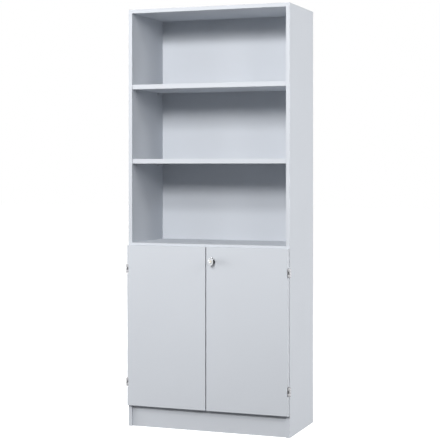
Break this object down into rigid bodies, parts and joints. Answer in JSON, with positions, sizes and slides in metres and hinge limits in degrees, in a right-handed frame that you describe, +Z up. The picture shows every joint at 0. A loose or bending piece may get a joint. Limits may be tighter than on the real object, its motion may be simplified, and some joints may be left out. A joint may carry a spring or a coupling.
{
  "type": "bookcase with cabinet doors",
  "caption": "Tall light grey bookcase: open compartments with adjustable shelves above a plinth cupboard with hinged overlay doors and a turning-rod lock.",
  "frame": {"origin": "on the floor, under the centre of the object's bounding box", "axes": "+Z up, doors face -Y, +X to the right of someone facing the doors"},
  "size_m": [0.817, 0.4254, 1.975],
  "materials": {
    "grey_board": "light grey melamine facing on chipboard, fine pearl texture, satin",
    "beech_dowel": "fluted beech, unfinished",
    "hinge_steel": "nickel-plated steel, satin",
    "screw_steel": "zinc-plated steel",
    "bright_steel": "zinc-plated steel",
    "knob_chrome": "polished nickel plate on zinc",
    "plug_nickel": "brushed nickel plate",
    "lock_zinc": "plain die-cast zinc, matt",
    "grey_plastic": "light grey moulded plastic",
    "magnet_black": "ferrite magnet"
  },
  "bodies": {
    "carcass": {"back_panel": "grey_board", "back_screws": "screw_steel", "bottom_panel": "grey_board", "catch_housing": "grey_plastic", "catch_magnet": "magnet_black", "catch_poles": "bright_steel", "catch_screws": "screw_steel", "dowels_bottom": "beech_dowel", "dowels_middle": "beech_dowel", "dowels_plinth": "beech_dowel", "dowels_top": "beech_dowel", "hinge_frame_leaf_lower_left": "hinge_steel", "hinge_frame_leaf_lower_right": "hinge_steel", "hinge_frame_leaf_upper_left": "hinge_steel", "hinge_frame_leaf_upper_right": "hinge_steel", "hinge_pin_lower_left": "hinge_steel", "hinge_pin_lower_right": "hinge_steel", "hinge_pin_upper_left": "hinge_steel", "hinge_pin_upper_right": "hinge_steel", "hinge_screws_frame": "screw_steel", "middle_panel": "grey_board", "plinth_front": "grey_board", "plinth_rear": "grey_board", "shelf_cabinet": "grey_board", "shelf_middle": "grey_board", "shelf_supports_cabinet": "bright_steel", "shelf_supports_middle": "bright_steel", "shelf_supports_upper": "bright_steel", "shelf_upper": "grey_board", "side_panel_left": "grey_board", "side_panel_right": "grey_board", "strike_lower": "bright_steel", "strike_screws": "screw_steel", "strike_upper": "bright_steel", "top_panel": "grey_board"},
    "door_left": {"catch_plate": "bright_steel", "catch_plate_screw": "screw_steel", "door_left": "grey_board", "hinge_door_leaf_lower_left": "hinge_steel", "hinge_door_leaf_upper_left": "hinge_steel", "hinge_screws_door_left": "screw_steel"},
    "door_right": {"door_right": "grey_board", "hinge_door_leaf_lower_right": "hinge_steel", "hinge_door_leaf_upper_right": "hinge_steel", "hinge_screws_door_right": "screw_steel", "knob_rosette": "knob_chrome", "lock_case": "lock_zinc", "lock_screws": "screw_steel", "rod_guide_lower": "grey_plastic", "rod_guide_middle": "grey_plastic"},
    "lock_knob": {"turn_knob": "knob_chrome"},
    "key_cylinder": {"key_plug": "plug_nickel"},
    "lock_rods": {"lock_rod": "bright_steel", "rod_hook_lower": "bright_steel", "rod_hook_upper": "bright_steel"}
  },
  "joints": [
    {"name": "door_left_hinge", "type": "hinge", "parent": "carcass", "child": "door_left", "pos_m": [-0.404, -0.1773, 0.48], "axis": [0, 0, -1], "range_deg": [0, 215]},
    {"name": "door_right_hinge", "type": "hinge", "parent": "carcass", "child": "door_right", "pos_m": [0.404, -0.1773, 0.48], "axis": [0, 0, 1], "range_deg": [0, 215]},
    {"name": "knob_turn", "type": "hinge", "parent": "door_right", "child": "lock_knob", "pos_m": [0.033, -0.1873, 0.794], "axis": [0, 1, 0], "range_deg": [0, 90]},
    {"name": "rod_turn", "type": "hinge", "parent": "door_right", "child": "lock_rods", "pos_m": [0.033, -0.1583, 0.794], "axis": [0, 0, -1], "range_deg": [0, 90]},
    {"name": "key_turn", "type": "hinge", "parent": "lock_knob", "child": "key_cylinder", "pos_m": [0.033, -0.2123, 0.794], "axis": [0, 1, 0], "range_deg": [0, 90]}
  ],
  "couplings": [
    {"joint": "rod_turn", "follows": "knob_turn", "ratio": 1}
  ]
}
